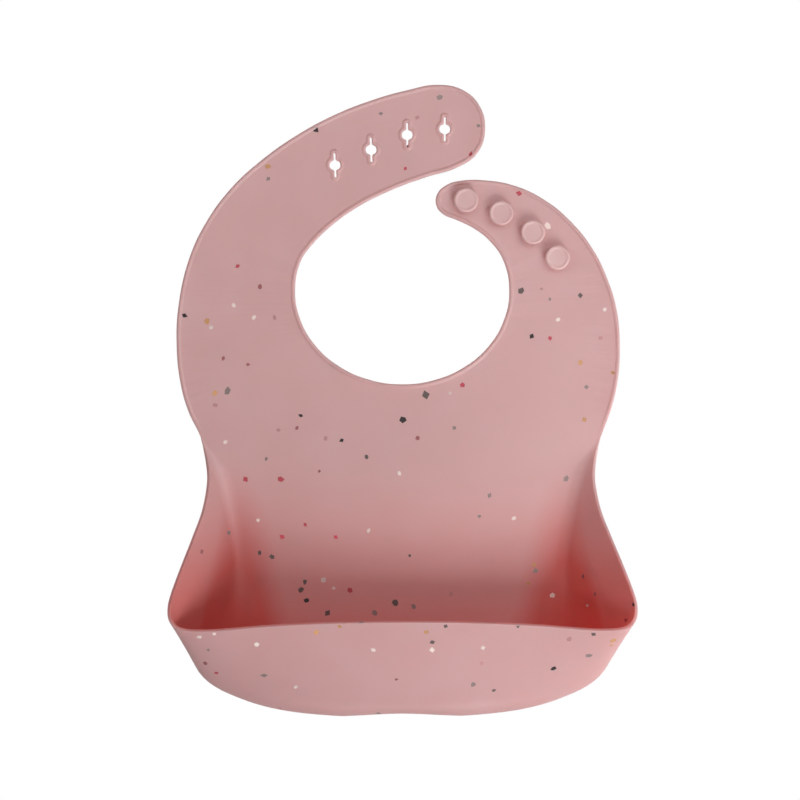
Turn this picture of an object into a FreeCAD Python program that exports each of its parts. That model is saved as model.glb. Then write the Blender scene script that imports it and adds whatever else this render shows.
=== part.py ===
"""Silicone baby bib with a food-catching pocket, a soft neck opening and a button closure.

Frame, in millimetres: X to the right and Z up as the bib is worn, +Y to the back.
The origin is the centre of the neck opening on the back face of the panel.
"""
import FreeCAD
import Part
import math
import os

from FreeCAD import Vector

# ---------------------------------------------------------------- driving dimensions
SHEET = 1.8                 # thickness of the moulded silicone sheet
BEAD_WIDTH = 2.2            # border moulded along the free edges, on the front
BEAD_HEIGHT = 0.6
BEAD_ROUNDING = 0.45
WAIST_Z = -74.0             # below this height the sides of the sheet curl forward
NECK_CENTRE = (0.6, -3.0)   # the lower side of the neck opening is more than half an ellipse
NECK_HALF_WIDTH = 52.5
NECK_HALF_HEIGHT = 45.7
NECK_END = math.radians(19) # how far it rises past its widest points on both sides
FLEX_RADIUS = 1.75          # rounded ends of the sheet where a strap bends
FLEX_GAP = 0.12

# Right edge of the sheet, from the waist, over the shoulder, round the tip of the
# button strap and back towards the neck (x, z)
RIGHT_EDGE = [
    (98.3, WAIST_Z), (103.0, -61.3), (106.4, -46.6), (107.4, -30.0), (105.9, -12.3),
    (101.5, 2.5), (94.4, 17.2), (83.0, 31.5), (70.0, 42.0), (55.0, 48.9), (40.0, 51.4),
    (30.0, 51.2), (22.4, 49.1), (17.7, 44.5), (17.3, 39.0), (20.6, 34.8), (27.5, 31.8),
    (36.0, 27.6), (43.8, 21.4),
]
# Left edge, from above the neck, round the tip of the buttonhole strap, to the waist
LEFT_EDGE = [
    (-44.8, 18.2), (-35.7, 27.6), (-22.2, 37.6), (-5.5, 46.2), (12.0, 52.8),
    (28.0, 57.9), (37.4, 64.7), (41.2, 76.0), (38.4, 88.0), (30.2, 95.6), (18.0, 98.1),
    (3.0, 95.4), (-14.7, 90.3), (-33.0, 83.0), (-51.0, 73.2), (-68.0, 61.2), (-83.7, 46.6),
    (-96.0, 29.4), (-103.8, 12.3), (-108.8, -10.0), (-109.8, -28.0), (-107.9, -48.0),
    (-104.0, -62.0), (-98.3, WAIST_Z),
]

# Pocket, right half, from above the waist round to the middle of the front. Each station is
# the panel point, the corner where panel and wall would meet, the rim and the fold radius:
# (panel x, z), (corner x, z), (rim x, forward, z), radius
POCKET = [
    ((86.5, -68.0), (99.6, -68.0), (100.6, 0.0, -68.0), 20.0),
    ((82.0, WAIST_Z), (97.3, WAIST_Z), (98.3, 0.0, WAIST_Z), 20.0),
    ((77.5, -80.5), (94.6, -80.0), (96.5, 0.9, -80.0), 20.0),
    ((73.0, -88.0), (91.2, -87.0), (94.8, 4.2, -87.0), 20.0),
    ((67.5, -97.5), (88.0, -96.0), (93.8, 9.8, -96.2), 18.0),
    ((62.0, -111.0), (84.5, -110.0), (95.6, 18.5, -109.4), 18.0),
    ((58.0, -124.0), (81.5, -123.0), (99.6, 26.5, -121.5), 18.0),
    ((55.0, -137.0), (79.5, -137.0), (104.3, 34.8, -134.5), 17.0),
    ((52.0, -149.0), (80.0, -154.0), (108.8, 40.6, -147.5), 17.0),
    ((49.0, -158.0), (86.0, -172.0), (110.2, 42.6, -154.5), 17.0),
    ((46.0, -165.0), (94.0, -188.0), (109.2, 43.2, -160.2), 16.0),
    ((43.0, -170.0), (91.0, -203.0), (104.5, 43.4, -164.0), 15.0),
    ((38.0, -173.0), (76.5, -214.5), (90.5, 43.4, -164.7), 13.0),
    ((31.0, -174.0), (57.0, -225.5), (61.0, 43.4, -162.4), 11.0),
    ((18.0, -174.5), (30.0, -232.0), (30.0, 43.4, -161.1), 10.0),
    ((0.0, -174.5), (0.0, -233.5), (0.0, 43.4, -160.8), 10.0),
]
FRONT_HALF_WIDTH = 76.0     # the part of the pocket wall that swings lies between these
SIDE_FOOT_Z = -150.0        # above this height all of the wall belongs to the sides
FRONT_AXIS = (-10.9, -198.0)    # (y, z) of the fold along the foot of the pocket
FRONT_FOLD_RADIUS = 13.0
FRONT_GAP = 0.15

# Lines across the straps where they bend: a point on the line, in (x, z), and its angle
SHOULDER_Z = -18.0
LEFT_CURL = ((-59.0, 38.0), 136.0)
RIGHT_CURL = ((56.6, 30.3), 59.0)

BUTTONHOLES = [             # centre (x, z) and the lean of the slit from upright
    ((-32.4, 58.6), 3.0),
    ((-14.7, 66.2), 2.0),
    ((3.0, 73.5), 1.0),
    ((21.4, 76.4), 0.0),
]
HOLE_RADIUS = 2.6
SLIT_WIDTH = 0.9
SLIT_LENGTH = 12.0
BORDER_WIDTH = 1.9          # raised border moulded round each buttonhole
BORDER_HEIGHT = 0.55
BORDER_ROUNDING = 0.4

STUDS = [(31.7, 41.3), (48.9, 35.0), (64.4, 25.7), (76.5, 13.3)]
STUD_HEAD_RADIUS = 6.1
STUD_STEM_RADIUS = 2.6
STUD_STEM_LENGTH = 2.3
STUD_HEAD_THICKNESS = 2.0
STUD_RING_WIDTH = 1.3
STUD_RING_HEIGHT = 0.35

BIG = 400.0                 # larger than the bib, for cutting blocks
INSET_POINTS = 70           # fineness of the bead's inner line
PANEL_ROWS = 8              # fineness of the pocket wall: on the panel, round the fold,
FOLD_ROWS = 16              # up to the rim, and from waist to waist
RIM_ROWS = 10
WALL_COLUMNS = 84


# ---------------------------------------------------------------- flat sheet
def at(x, z, y=0.0):
    return Vector(x, y, z)


def smooth_edge(points, start, end):
    """A spline through the points, with the given directions at its ends."""
    curve = Part.BSplineCurve()
    curve.interpolate(Points=points, InitialTangent=start.normalize(),
                      FinalTangent=end.normalize(), Scale=False)
    return curve.toShape()


def neck_edge():
    """The lower side of the neck opening, from the right strap round to the left one."""
    x, z = NECK_CENTRE
    ellipse = Part.Ellipse(at(x + NECK_HALF_WIDTH, z), at(x, z - NECK_HALF_HEIGHT), at(x, z))
    return Part.ArcOfEllipse(ellipse, -NECK_END, math.pi + NECK_END).toShape()


def outline_edges():
    """Right side, neck and left side of the sheet, in the plane of its back face."""
    waist_up = at(0.32, 1.0)
    waist_down = at(0.32, -1.0)
    neck = neck_edge()
    right_end = neck.valueAt(neck.FirstParameter)
    left_end = neck.valueAt(neck.LastParameter)
    right = smooth_edge([at(x, z) for x, z in RIGHT_EDGE] + [right_end],
                        waist_up, neck.tangentAt(neck.FirstParameter))
    left = smooth_edge([left_end] + [at(x, z) for x, z in LEFT_EDGE],
                       neck.tangentAt(neck.LastParameter), waist_down)
    return right, neck, left


def inset_edge(edge, distance):
    """A copy of an outline edge, moved sideways into the sheet."""
    spots = []
    for spot in edge.discretize(Number=INSET_POINTS):
        along = edge.tangentAt(edge.Curve.parameter(spot))
        spots.append(spot + Vector(-along.z, 0, along.x) * distance)
    return smooth_edge(spots, edge.tangentAt(edge.FirstParameter), edge.tangentAt(edge.LastParameter))


def closed_face(edges):
    """A face inside edges that run on from each other, closed by a straight line."""
    first = edges[0].valueAt(edges[0].FirstParameter)
    last = edges[-1].valueAt(edges[-1].LastParameter)
    return Part.Face(Part.Wire(list(edges) + [Part.makeLine(last, first)]))


def flat_sheet():
    """Straps and chest in one piece, with a rounded bead along the front of the free edges."""
    edges = outline_edges()
    whole = closed_face(edges)
    inside = closed_face([inset_edge(edge, BEAD_WIDTH) for edge in edges])
    sheet = whole.extrude(Vector(0, -SHEET, 0))
    raised = whole.extrude(Vector(0, -SHEET - BEAD_HEIGHT, 0))
    hollow = inside.extrude(Vector(0, -SHEET - 2 * BEAD_HEIGHT, 0))
    waist = inside.BoundBox
    strip = Part.makeBox(waist.XLength - 2 * BEAD_WIDTH, 2 * SHEET, 2 * BEAD_WIDTH,
                         Vector(waist.XMin + BEAD_WIDTH, -2 * SHEET, WAIST_Z - BEAD_WIDTH))
    sheet = sheet.fuse(raised.cut(hollow).cut(strip)).removeSplitter()
    front = -SHEET - BEAD_HEIGHT
    crest = [edge for edge in sheet.Edges
             if edge.BoundBox.YMax < front + 0.01 and edge.Length > 2 * BEAD_WIDTH]
    return sheet.makeFillet(BEAD_ROUNDING, crest)


# ---------------------------------------------------------------- bending lines
def flex_axis(spot, angle):
    """A point on a strap's bending line and the line's direction, in the middle of the sheet."""
    turn = math.radians(angle)
    return at(spot[0], spot[1], -SHEET / 2), Vector(math.cos(turn), 0, math.sin(turn))


def roller(spot, along, radius):
    return Part.makeCylinder(radius, BIG, spot - along * (BIG / 2), along)


def beyond(spot, along, towards):
    """A large block on the side of a bending line that holds the point towards."""
    block = Part.makeBox(BIG, BIG, BIG, Vector(-BIG / 2, -BIG / 2, 0))
    side = Vector(-along.z, 0, along.x)
    if (towards - spot).dot(side) < 0:
        side = side * -1
    block.Placement = FreeCAD.Placement(spot, FreeCAD.Rotation(Vector(0, 0, 1), side))
    return block


def split_at(sheet, spot, along, towards):
    """The sheet cut in two at a bending line: (the near part, the part that holds towards)."""
    block = beyond(spot, along, towards)
    far = sheet.common(block.fuse(roller(spot, along, FLEX_RADIUS)))
    near = sheet.cut(block).cut(roller(spot, along, FLEX_RADIUS + FLEX_GAP))
    return near, far


def quarter(sheet, towards):
    """The solid of a sheet that lies round the point towards."""
    return min(sheet.Solids, key=lambda solid: solid.distToShape(Part.Vertex(towards))[0])


# ---------------------------------------------------------------- closure
def keyhole(grown, front, back):
    """A disc with an upright slot across it, both grown by a distance, as an upright block."""
    width = SLIT_WIDTH + 2 * grown
    straight = SLIT_LENGTH - SLIT_WIDTH
    depth = front - back
    block = Part.makeCylinder(HOLE_RADIUS + grown, depth, Vector(0, -front, 0), Vector(0, 1, 0))
    block = block.fuse(Part.makeBox(width, depth, straight, Vector(-width / 2, -front, -straight / 2)))
    for end in (-straight / 2, straight / 2):
        block = block.fuse(Part.makeCylinder(width / 2, depth, Vector(0, -front, end), Vector(0, 1, 0)))
    return block.removeSplitter()


def buttonhole(x, z, lean):
    """A raised border with a rounded front edge, and the hole with its two slits through it."""
    front = SHEET + BORDER_HEIGHT
    border = keyhole(BORDER_WIDTH, front, SHEET / 2)
    crest = [edge for edge in border.Edges if edge.BoundBox.YMax < -front + 0.01]
    border = border.makeFillet(BORDER_ROUNDING, crest)
    opening = keyhole(0.0, 2 * front, -front)
    for shape in (border, opening):
        shape.rotate(Vector(0, 0, 0), Vector(0, 1, 0), -lean)
        shape.translate(at(x, z))
    return border, opening


def stud(x, z):
    """A mushroom-shaped button: stem, rounded head and a raised ring round its face."""
    face = SHEET + STUD_STEM_LENGTH + STUD_HEAD_THICKNESS
    under = SHEET + STUD_STEM_LENGTH
    middle = (face + under) / 2
    ring = STUD_HEAD_RADIUS - STUD_RING_WIDTH
    bare = face - STUD_RING_HEIGHT
    rim = STUD_HEAD_RADIUS - 0.8

    def spot(radius, forward):
        return Vector(radius, -forward, 0)

    profile = [
        Part.makeLine(spot(0, bare), spot(0, SHEET)),
        Part.makeLine(spot(0, SHEET), spot(STUD_STEM_RADIUS + 0.6, SHEET)),
        Part.makeLine(spot(STUD_STEM_RADIUS + 0.6, SHEET), spot(STUD_STEM_RADIUS, SHEET + 0.6)),
        Part.makeLine(spot(STUD_STEM_RADIUS, SHEET + 0.6), spot(STUD_STEM_RADIUS, under)),
        Part.makeLine(spot(STUD_STEM_RADIUS, under), spot(rim, under)),
        Part.Arc(spot(rim, under), spot(STUD_HEAD_RADIUS, middle), spot(rim, face)).toShape(),
        Part.makeLine(spot(rim, face), spot(ring, face)),
        Part.makeLine(spot(ring, face), spot(ring - STUD_RING_HEIGHT, bare)),
        Part.makeLine(spot(ring - STUD_RING_HEIGHT, bare), spot(0, bare)),
    ]
    turned = Part.Face(Part.Wire(profile)).revolve(Vector(0, 0, 0), Vector(0, 1, 0), 360)
    turned.translate(at(x, z))
    return turned


# ---------------------------------------------------------------- pocket
def blend(values, place):
    """Smooth value at a place between stations, through every station's own value."""
    last = len(values) - 1
    i = min(int(place), last - 1)
    t = place - i
    b, c = values[i], values[i + 1]
    a = values[i - 1] if i > 0 else 2 * b - c
    d = values[i + 2] if i + 2 <= last else 2 * c - b
    square = 2 * a - 5 * b + 4 * c - d
    cube = 3 * b - a - 3 * c + d
    return 0.5 * (2 * b + (c - a) * t + square * t ** 2 + cube * t ** 3)


def stations():
    """All stations from the right waist, round the front, to the left waist."""
    right = [panel + corner + rim + (radius,) for panel, corner, rim, radius in POCKET]
    left = [(-px, pz, -cx, cz, -rx, ry, rz, r) for px, pz, cx, cz, rx, ry, rz, r in reversed(right[:-1])]
    return right + left


def graded(far, near, count):
    """Points from far towards near, closer together as they come near, which is left out."""
    return [far + (near - far) * math.sin(math.pi / 2 * i / count) for i in range(count)]


def wall_line(place, table):
    """Points along the middle of the sheet, from the panel, round the fold, to the rim."""
    px, pz, cx, cz, rx, forward, rz, radius = [blend([row[i] for row in table], place) for i in range(8)]
    panel, corner, rim = Vector(px, 0, pz), Vector(cx, 0, cz), Vector(rx, -forward, rz)
    into = (corner - panel).normalize()
    out = (rim - corner).normalize()
    turn = math.acos(max(-1.0, min(1.0, into.dot(out))))
    wall = (rim - corner).Length
    reach = max(min(radius * math.tan(turn / 2), 0.92 * (corner - panel).Length, 0.8 * wall), 0.4 * wall)
    start, end = corner - into * reach, corner + out * reach
    spots = graded(panel, start, PANEL_ROWS)
    if turn < 0.02:
        spots += Part.makeLine(start, end).discretize(Number=FOLD_ROWS + 1)
    else:
        bend = reach / math.tan(turn / 2)
        centre = corner + (out - into).normalize() * math.hypot(reach, bend)
        middle = centre + (corner - centre).normalize() * bend
        spots += Part.Arc(start, middle, end).toShape().discretize(Number=FOLD_ROWS + 1)
    spots += graded(rim, end, RIM_ROWS)[::-1]
    return [spot + Vector(0, -SHEET / 2, 0) for spot in spots]


def skin(grid, offset):
    """A smooth surface beside a grid of points, offset along the grid's own normals."""
    rows, count = len(grid), len(grid[0])
    moved = []
    for i in range(rows):
        line = []
        for j in range(count):
            across = grid[min(i + 1, rows - 1)][j] - grid[max(i - 1, 0)][j]
            along = grid[i][min(j + 1, count - 1)] - grid[i][max(j - 1, 0)]
            normal = across.cross(along).normalize()
            if i in (0, rows - 1) or j == 0:
                normal = Vector(0, math.copysign(1.0, normal.y), 0)
            line.append(grid[i][j] + normal * offset)
        moved.append(line)
    surface = Part.BSplineSurface()
    surface.interpolate(moved)
    return surface


def pocket_shell():
    """The whole pocket wall as one solid, from waist to waist."""
    table = stations()
    last = len(table) - 1
    grid = [wall_line(last * i / WALL_COLUMNS, table) for i in range(WALL_COLUMNS + 1)]
    faces = [skin(grid, side * SHEET / 2) for side in (-1, 1)]
    u0, u1, v0, v1 = faces[0].bounds()
    sides = [surface.toShape() for surface in faces]
    for iso, value in (("uIso", u0), ("uIso", u1), ("vIso", v0), ("vIso", v1)):
        a, b = [getattr(surface, iso)(value).toShape() for surface in faces]
        sides.append(Part.makeRuledSurface(a, b))
    shell = Part.Shell(sides)
    shell.sewShape()
    solid = Part.Solid(shell).common(below_waist())
    back = max(faces, key=lambda surface: surface.value(u0, v0).y)
    return solid, back.vIso(v0).toShape()


def pocket_back(foot):
    """The flat part of the panel behind the pocket, inside the line where the walls begin."""
    return closed_face([foot]).extrude(Vector(0, -SHEET, 0)).common(below_waist())


def below_waist():
    return Part.makeBox(BIG, BIG, BIG, Vector(-BIG / 2, -BIG / 2, WAIST_Z - BIG))


def between(low_x, high_x, low_y=-BIG, high_y=BIG, high_z=BIG):
    return Part.makeBox(high_x - low_x, high_y - low_y, high_z + BIG, Vector(low_x, low_y, -BIG))


def pocket_parts(wall):
    """Side walls, foot and the front that swings on the foot's fold. The sides are a mirrored pair."""
    axis = Vector(0, *FRONT_AXIS)
    fold = roller(axis, Vector(1, 0, 0), FRONT_FOLD_RADIUS)
    clear = roller(axis, Vector(1, 0, 0), FRONT_FOLD_RADIUS + FRONT_GAP)
    behind = between(-BIG, BIG, low_y=FRONT_AXIS[0] + 2.0)
    low_middle = between(-FRONT_HALF_WIDTH, FRONT_HALF_WIDTH, high_z=SIDE_FOOT_Z)
    inner = FRONT_HALF_WIDTH - FRONT_GAP
    foot = wall.common(low_middle).common(fold.fuse(behind))
    front = wall.common(between(-inner, inner)).cut(clear).cut(behind)
    right = wall.cut(low_middle).cut(front).common(between(0, BIG))
    left = right.mirror(Vector(0, 0, 0), Vector(1, 0, 0))
    return {"pocket_base": foot, "pocket_front": front,
            "right_pocket_side": right, "left_pocket_side": left}


# ---------------------------------------------------------------- assembly
def build():
    nodes = {}
    sheet = flat_sheet()
    level, across = flex_axis((0.0, SHOULDER_Z), 0.0)
    chest, straps = split_at(sheet, level, across, at(0, BIG))
    left_strap = quarter(straps, at(-80, 10))
    right_strap = quarter(straps, at(80, 10))
    nodes["chest_panel"] = chest

    spot, along = flex_axis(*LEFT_CURL)
    arm, end = split_at(left_strap, spot, along, at(*BUTTONHOLES[-1][0]))
    nodes["left_strap_arm"] = arm
    for centre, lean in BUTTONHOLES:
        border, opening = buttonhole(*centre, lean)
        end = end.fuse(border).cut(opening)
    nodes["buttonhole_strap_end"] = end

    spot, along = flex_axis(*RIGHT_CURL)
    arm, end = split_at(right_strap, spot, along, at(*STUDS[0]))
    nodes["right_strap_arm"] = arm
    nodes["button_strap_end"] = end
    for number, centre in enumerate(STUDS, 1):
        nodes[f"button_{number}"] = stud(*centre)

    wall, foot = pocket_shell()
    nodes["pocket_back"] = pocket_back(foot)
    nodes.update(pocket_parts(wall))
    return nodes


os.makedirs("parts", exist_ok=True)
for name, shape in build().items():
    print(name, len(shape.Solids), "solid(s)", round(shape.Volume / 1000, 2), "cm3", shape.isValid())
    shape.exportStep(f"parts/{name}.step")
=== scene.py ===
# %% [markdown]
# # A silicone bib, from frame to finish
# The real bib is one moulding of soft silicone, 1.8 mm thick. A flat chest panel runs up
# into two straps that meet behind the neck, and its lower end curls forward into a pocket
# that catches food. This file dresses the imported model. It makes the sheet and the pocket
# as smooth skins, turns the buttons on a spin, and scatters coloured flakes as real pieces.
# The pieces are drawn in millimetres, which suits the limits inside Blender's fill tools,
# and each one is scaled to metres once, when it is finished.

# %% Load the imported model
import bmesh
import bpy
import math
import random

from mathutils import Matrix, Vector
from mathutils.bvhtree import BVHTree
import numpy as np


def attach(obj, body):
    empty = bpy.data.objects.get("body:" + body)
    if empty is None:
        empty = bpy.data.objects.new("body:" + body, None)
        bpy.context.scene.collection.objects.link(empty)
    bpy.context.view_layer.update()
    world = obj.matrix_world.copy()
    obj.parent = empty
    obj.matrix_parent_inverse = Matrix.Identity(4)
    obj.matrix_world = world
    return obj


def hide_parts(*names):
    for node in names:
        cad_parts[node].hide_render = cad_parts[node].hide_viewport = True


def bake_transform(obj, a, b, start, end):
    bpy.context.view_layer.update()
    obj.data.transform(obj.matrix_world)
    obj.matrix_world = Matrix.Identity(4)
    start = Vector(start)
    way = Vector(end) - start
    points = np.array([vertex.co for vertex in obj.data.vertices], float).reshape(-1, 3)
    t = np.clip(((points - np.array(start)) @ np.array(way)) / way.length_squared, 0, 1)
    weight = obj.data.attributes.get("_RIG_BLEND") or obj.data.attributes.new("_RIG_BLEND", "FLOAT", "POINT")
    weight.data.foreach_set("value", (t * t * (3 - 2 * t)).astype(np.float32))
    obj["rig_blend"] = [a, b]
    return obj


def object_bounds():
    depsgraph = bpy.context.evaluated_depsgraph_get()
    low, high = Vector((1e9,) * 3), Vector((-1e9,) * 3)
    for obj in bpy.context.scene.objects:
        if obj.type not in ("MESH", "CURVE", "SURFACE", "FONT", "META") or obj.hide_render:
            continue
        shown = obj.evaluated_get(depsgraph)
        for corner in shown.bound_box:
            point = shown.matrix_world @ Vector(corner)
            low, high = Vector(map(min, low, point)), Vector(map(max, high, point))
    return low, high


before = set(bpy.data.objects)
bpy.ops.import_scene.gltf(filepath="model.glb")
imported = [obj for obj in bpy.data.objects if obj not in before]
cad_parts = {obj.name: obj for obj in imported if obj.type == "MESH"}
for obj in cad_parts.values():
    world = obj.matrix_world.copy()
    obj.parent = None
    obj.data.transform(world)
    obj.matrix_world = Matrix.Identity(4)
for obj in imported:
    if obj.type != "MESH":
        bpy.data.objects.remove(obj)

MM = 0.001
packed_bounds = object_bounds()
low, high = [Vector(corner) for corner in packed_bounds]
centre = (low + high) / 2
print("packed model", [round(side / MM, 1) for side in high - low], "mm")

# %% [markdown]
# ## Camera
# The bib is looked at almost straight on, from a little over a metre away. The camera
# stands level with its middle and a touch to the left, turned back towards it. A long
# lens keeps the pocket's near corners from growing too large beside the flat panel.

# %% Camera
VIEW_DISTANCE = 1.1
VIEW_ASIDE = -0.025
LENS = 100.9
# The point (x, z) of the bib that is in the middle of the picture.
VIEW_MIDDLE = (-0.5, -56.4)
camera_data = bpy.data.cameras.new("camera")
camera_data.lens = LENS
camera = bpy.data.objects.new("camera", camera_data)
camera.location = (VIEW_ASIDE + VIEW_MIDDLE[0] * MM, -VIEW_DISTANCE, VIEW_MIDDLE[1] * MM)
camera.rotation_euler = (math.radians(90), 0, math.atan(VIEW_ASIDE / VIEW_DISTANCE))
bpy.context.collection.objects.link(camera)
bpy.context.scene.camera = camera
print("camera", tuple(round(value, 4) for value in camera.location))

# %% [markdown]
# ## Light
# Soft lamps stand round the bib. The main one is low, in front and to the right: it
# reaches under the rim, models the curled side walls and leaves the bottom of the pocket
# in shade. A weaker one beside the bib shines through the right wall, three above fill
# the shadows of the buttons, and one behind keeps the back about as pale as the front.
# Area lamps are used because their size softens the edge of every shadow.

# %% Lamps
# (name, turn to the right, rise, distance in metres, width in metres, power in watts)
LAMPS = [("key", 33, -40, 0.8, 0.4, 4.5), ("side", 95, -20, 0.45, 0.3, 0.8),
         ("upper right", 42, 20, 0.45, 0.3, 0.58), ("upper left", -50, 25, 0.45, 0.3, 0.33),
         ("upper", 0, 50, 0.45, 0.3, 0.25), ("back", 190, 15, 0.9, 0.6, 2.6)]


def soft_lamp(name, turn, rise, distance, width, power):
    """An area lamp at a distance from the middle of the bib, turned to face it."""
    data = bpy.data.lights.new(name, "AREA")
    data.energy = power
    data.size = width
    turn, rise = math.radians(turn), math.radians(rise)
    away = Vector((math.sin(turn) * math.cos(rise), -math.cos(turn) * math.cos(rise),
                   math.sin(rise)))
    lamp = bpy.data.objects.new(name, data)
    lamp.location = centre + away * distance
    lamp.rotation_euler = away.to_track_quat("Z", "Y").to_euler()
    bpy.context.collection.objects.link(lamp)
    return lamp


lamps = [soft_lamp(*settings) for settings in LAMPS]
print("lamps", [lamp.name for lamp in lamps])

# %% [markdown]
# ## Backdrop
# A white room would light the bib from all sides and wash out its shadows. So the world
# has two strengths: it is plain white to the camera and to mirror-like rays, and almost
# dark to light that spreads. The Light Path node tells the two kinds of ray apart.

# %% World
AMBIENT = 0.02


def joined(tree, operation, first, second):
    """The output of a Math node with two linked inputs, kept between 0 and 1."""
    node = tree.nodes.new("ShaderNodeMath")
    node.operation = operation
    node.use_clamp = True
    tree.links.new(first, node.inputs[0])
    tree.links.new(second, node.inputs[1])
    return node.outputs[0]


def sees_backdrop(tree):
    """A socket that is 1 for camera, mirror and glass rays, and 0 for light that spreads.

    Light that seeps through silicone counts as transmission too, so what is spread is
    taken off that count.
    """
    path = tree.nodes.new("ShaderNodeLightPath").outputs
    through = joined(tree, "SUBTRACT", path["Is Transmission Ray"], path["Is Diffuse Ray"])
    seen = joined(tree, "MAXIMUM", path["Is Camera Ray"], path["Is Glossy Ray"])
    return joined(tree, "MAXIMUM", seen, through)


def show_mix(tree, share, first, second):
    """Shows two shaders mixed: the share of the second is a fixed number or a socket."""
    mix = tree.nodes.new("ShaderNodeMixShader")
    if isinstance(share, float):
        mix.inputs["Fac"].default_value = share
    else:
        tree.links.new(share, mix.inputs["Fac"])
    tree.links.new(first, mix.inputs[1])
    tree.links.new(second, mix.inputs[2])
    output = tree.nodes.get("World Output") or tree.nodes["Material Output"]
    tree.links.new(mix.outputs[0], output.inputs["Surface"])


def sky(tree, strength):
    """The output of a white Background node."""
    node = tree.nodes.new("ShaderNodeBackground")
    node.inputs["Color"].default_value = (1, 1, 1, 1)
    node.inputs["Strength"].default_value = strength
    return node.outputs[0]


bpy.context.scene.view_settings.view_transform = "Standard"
world = bpy.data.worlds.new("studio")
world.use_nodes = True
bpy.context.scene.world = world
tree = world.node_tree
show_mix(tree, sees_backdrop(tree), sky(tree, AMBIENT), sky(tree, 1.0))
print("world", world.name, "with", len(tree.nodes), "nodes")

# %% [markdown]
# ## Floor
# The bib hangs from a neck, so the floor lies well below it. It is plain and pale. Most
# of what the camera sees of it is a white glow, and the rest is an ordinary matt
# surface, so that it still shows a faint shadow. The matt share fades out with the
# distance, which hides the place where the floor ends and the backdrop begins.

# %% Floor
FLOOR_DROP = 640.0
FLOOR_SIZE = 6000.0
FLOOR_MATT = 0.9
# The share of the glow near the bib, and the distances in metres over which it rises to 1.
FLOOR_WHITE = 0.9
FLOOR_NEAR = 1.0
FLOOR_FAR = 2.9


def new_material(name):
    """A material that is built from nodes, and its node tree."""
    material = bpy.data.materials.new(name)
    material.use_nodes = True
    return material, material.node_tree


def floor_paint():
    """White to the camera, with a share of plain matt paint that takes the shadow."""
    material, tree = new_material("pale floor")
    matt = tree.nodes["Principled BSDF"]
    matt.inputs["Base Color"].default_value = (FLOOR_MATT, FLOOR_MATT, FLOOR_MATT, 1)
    matt.inputs["Roughness"].default_value = FLOOR_MATT
    glow = tree.nodes.new("ShaderNodeEmission")
    glow.inputs["Strength"].default_value = 1.0
    place = tree.nodes.new("ShaderNodeTexCoord").outputs["Object"]
    reach = tree.nodes.new("ShaderNodeVectorMath")
    reach.operation = "LENGTH"
    tree.links.new(place, reach.inputs[0])
    fade = tree.nodes.new("ShaderNodeMapRange")
    fade.inputs["From Min"].default_value = FLOOR_NEAR
    fade.inputs["From Max"].default_value = FLOOR_FAR
    fade.inputs["To Min"].default_value = FLOOR_WHITE
    tree.links.new(reach.outputs["Value"], fade.inputs["Value"])
    share = joined(tree, "MULTIPLY", sees_backdrop(tree), fade.outputs["Result"])
    show_mix(tree, share, matt.outputs[0], glow.outputs[0])
    return material


def finished(bm, name, *materials):
    """An object with the shape of a bmesh drawn in millimetres, its place in its mesh."""
    bmesh.ops.scale(bm, verts=bm.verts, vec=(MM, MM, MM))
    mesh = bpy.data.meshes.new(name)
    bm.to_mesh(mesh)
    bm.free()
    piece = bpy.data.objects.new(name, mesh)
    for material in materials:
        piece.data.materials.append(material)
    bpy.context.collection.objects.link(piece)
    return piece


floor_height = low.z / MM - FLOOR_DROP
bm = bmesh.new()
bmesh.ops.create_grid(bm, x_segments=1, y_segments=1, size=FLOOR_SIZE / 2)
bmesh.ops.translate(bm, verts=bm.verts, vec=(0, 0, floor_height))
floor = finished(bm, "floor", floor_paint())
print("floor at", round(floor_height), "mm")

# %% [markdown]
# ## Painted shade in the pocket
# Inside the pocket the silicone looks redder than outside. Much of the light there has
# come through a wall or bounced between two, and each pass takes out green and blue. A
# path tracer with a few bounces shows only part of that, so the inner walls get painted
# shade, a colour darkened towards deep red. It is tied to the shape: the mesh marks its
# inner walls with an attribute, and the painted shade grows with the depth below the waist.

# %% Painted shade of the pocket
PAINTED_SHADE_ATTRIBUTE = "inner_wall"
SHADE_START = -82.0
SHADE_FULL = -162.0


def painted_shade_share(tree, place):
    """The share of painted shade: a socket that rises from 0 to 1 down the pocket's inner walls."""
    split = tree.nodes.new("ShaderNodeSeparateXYZ")
    tree.links.new(place, split.inputs[0])
    fall = tree.nodes.new("ShaderNodeMapRange")
    fall.interpolation_type = "SMOOTHSTEP"
    fall.inputs["From Min"].default_value = SHADE_START * MM
    fall.inputs["From Max"].default_value = SHADE_FULL * MM
    tree.links.new(split.outputs["Z"], fall.inputs["Value"])
    inner = tree.nodes.new("ShaderNodeAttribute")
    inner.attribute_name = PAINTED_SHADE_ATTRIBUTE
    return joined(tree, "MULTIPLY", fall.outputs["Result"], inner.outputs["Fac"])


def blended(tree, share, first, second):
    """A colour between two others, each of them a fixed colour or a socket."""
    node = tree.nodes.new("ShaderNodeMix")
    node.data_type = "RGBA"
    tree.links.new(share, node.inputs["Factor"])
    for slot, colour in (("A", first), ("B", second)):
        if isinstance(colour, tuple):
            node.inputs[slot].default_value = (*colour, 1)
        else:
            tree.links.new(colour, node.inputs[slot])
    return node.outputs["Result"]


print("the pocket's shade grows from", SHADE_START, "to", SHADE_FULL, "mm")

# %% [markdown]
# ## Silicone
# Food-grade silicone is matt and lets some light through: a strong lamp behind a thin
# wall makes it glow. A plain surface shader can't do that, and subsurface scattering
# shows the seams where one piece of skin meets the next. So the finish mixes a soft
# surface with a Translucent shader, and a rough coat adds the broad sheen of a moulded
# face. The fine noises are the clouding of the pigment, the uneven satin of the mould
# and a grain that is coarser on the buttons.

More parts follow.
